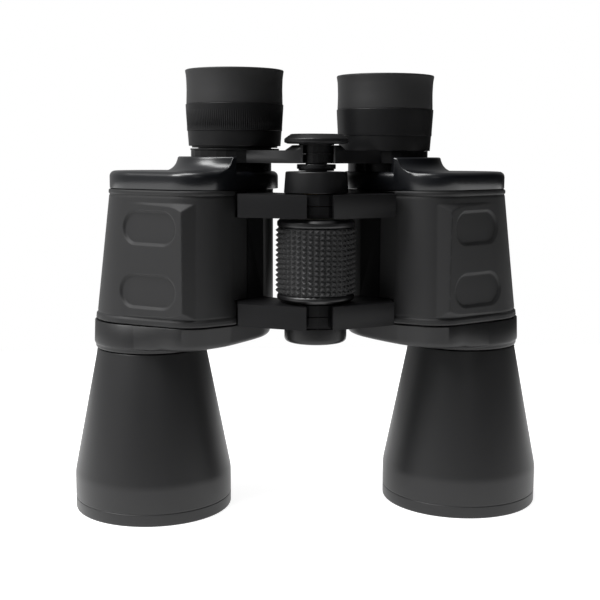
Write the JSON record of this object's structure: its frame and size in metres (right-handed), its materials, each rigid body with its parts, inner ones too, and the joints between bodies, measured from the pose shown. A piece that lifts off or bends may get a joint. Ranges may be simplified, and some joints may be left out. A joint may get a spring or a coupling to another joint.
{
  "type": "porro prism binoculars",
  "caption": "Porro-prism binoculars with rubber-armoured housings, tapering objective barrels, knurled centre focus wheel, folding hinge and rubber eyecups.",
  "frame": {"origin": "bottom centre of the bounding box at rest; the hinge axis is the vertical line x = 0, y = -0.021 m", "axes": "+Z from the objective rims towards the eyepieces; -Y is the side of the focus wheel; +X is the half for the user's left eye"},
  "size_m": [0.187, 0.0732, 0.1718],
  "materials": {
    "rubber_armour": "soft-touch matt, fine moulded grain",
    "gloss_black": "high gloss moulded cover",
    "satin_black": "satin moulding",
    "barrel_grey": "satin dark grey paint on a drawn aluminium barrel",
    "plate_grey": "satin dark grey paint on a die casting",
    "casting": "satin black paint on a die casting",
    "wheel_black": "satin black",
    "grip_rubber": "knurled rubber",
    "aluminium": "machined",
    "black_anodised": "matt black anodised",
    "brass": "turned",
    "steel": "bright ground",
    "nylon": "natural nylon",
    "coated_glass": "polished, blue anti-reflection coating",
    "prism_glass": "polished"
  },
  "bodies": {
    "right_half": {"right_prism_housing": "casting", "right_armour": "rubber_armour", "right_prism_cover": "gloss_black", "right_front_plate": "plate_grey", "right_prism_shelf": "aluminium", "right_prism_rear": "prism_glass", "right_prism_front": "prism_glass", "right_prism_clip_rear": "steel", "right_prism_clip_front": "steel", "right_objective_barrel": "barrel_grey", "right_objective_crown": "coated_glass", "right_objective_flint": "prism_glass", "right_objective_ring": "black_anodised", "upper_hinge_bush": "brass", "lower_hinge_bush": "brass", "upper_cap": "satin_black", "lower_cap": "satin_black", "wheel_washer_lower": "nylon", "wheel_washer_upper": "nylon"},
    "left_half": {"left_prism_housing": "casting", "left_armour": "rubber_armour", "left_prism_cover": "gloss_black", "left_front_plate": "plate_grey", "left_prism_shelf": "aluminium", "left_prism_rear": "prism_glass", "left_prism_front": "prism_glass", "left_prism_clip_rear": "steel", "left_prism_clip_front": "steel", "left_objective_barrel": "barrel_grey", "left_objective_crown": "coated_glass", "left_objective_flint": "prism_glass", "left_objective_ring": "black_anodised"},
    "focus_wheel": {"focus_wheel": "wheel_black", "focus_grip": "grip_rubber"},
    "bridge": {"focus_spindle": "steel", "bridge_collar": "rubber_armour", "bridge_cap": "satin_black", "bridge_arm_right": "satin_black", "right_eyepiece_tube": "black_anodised"},
    "left_eyepiece": {"bridge_arm_left": "satin_black", "left_eyepiece_tube": "black_anodised", "left_lens_cell": "black_anodised", "left_field_lens": "coated_glass", "left_eye_lens": "coated_glass", "left_lens_retainer": "black_anodised", "left_lower_ring": "satin_black", "eyepiece_ring": "satin_black", "left_eyecup": "rubber_armour"},
    "diopter_cell": {"right_lens_cell": "black_anodised", "right_field_lens": "coated_glass", "right_eye_lens": "coated_glass", "right_lens_retainer": "black_anodised"},
    "diopter_head": {"right_lower_ring": "satin_black", "diopter_ring": "satin_black", "right_eyecup": "rubber_armour"}
  },
  "joints": [
    {"name": "interpupillary_hinge", "type": "hinge", "parent": "right_half", "child": "left_half", "pos_m": [0, -0.021, 0.1], "axis": [0, 0, 1], "range_deg": [-33, 8]},
    {"name": "focus_turn", "type": "hinge", "parent": "right_half", "child": "focus_wheel", "pos_m": [0, -0.021, 0.1], "axis": [0, 0, 1], "range_deg": [-12, 300]},
    {"name": "focus_travel", "type": "slide", "parent": "right_half", "child": "bridge", "axis": [0, 0, 1], "range_m": [-0.0002, 0.005]},
    {"name": "bridge_fold", "type": "hinge", "parent": "bridge", "child": "left_eyepiece", "pos_m": [0, -0.021, 0.14], "axis": [0, 0, 1], "range_deg": [-33, 8]},
    {"name": "diopter_travel", "type": "slide", "parent": "bridge", "child": "diopter_cell", "axis": [0, 0, 1], "range_m": [-0.0009, 0.0026]},
    {"name": "diopter_turn", "type": "hinge", "parent": "diopter_cell", "child": "diopter_head", "pos_m": [-0.0294, 0.0037, 0.15], "axis": [0, 0, 1], "range_deg": [-54, 156]}
  ],
  "couplings": [
    {"joint": "focus_turn", "follows": "focus_travel", "rad_per_m": 1047.2},
    {"joint": "bridge_fold", "follows": "interpupillary_hinge", "ratio": 1},
    {"joint": "diopter_turn", "follows": "diopter_travel", "rad_per_m": 1047.2}
  ]
}
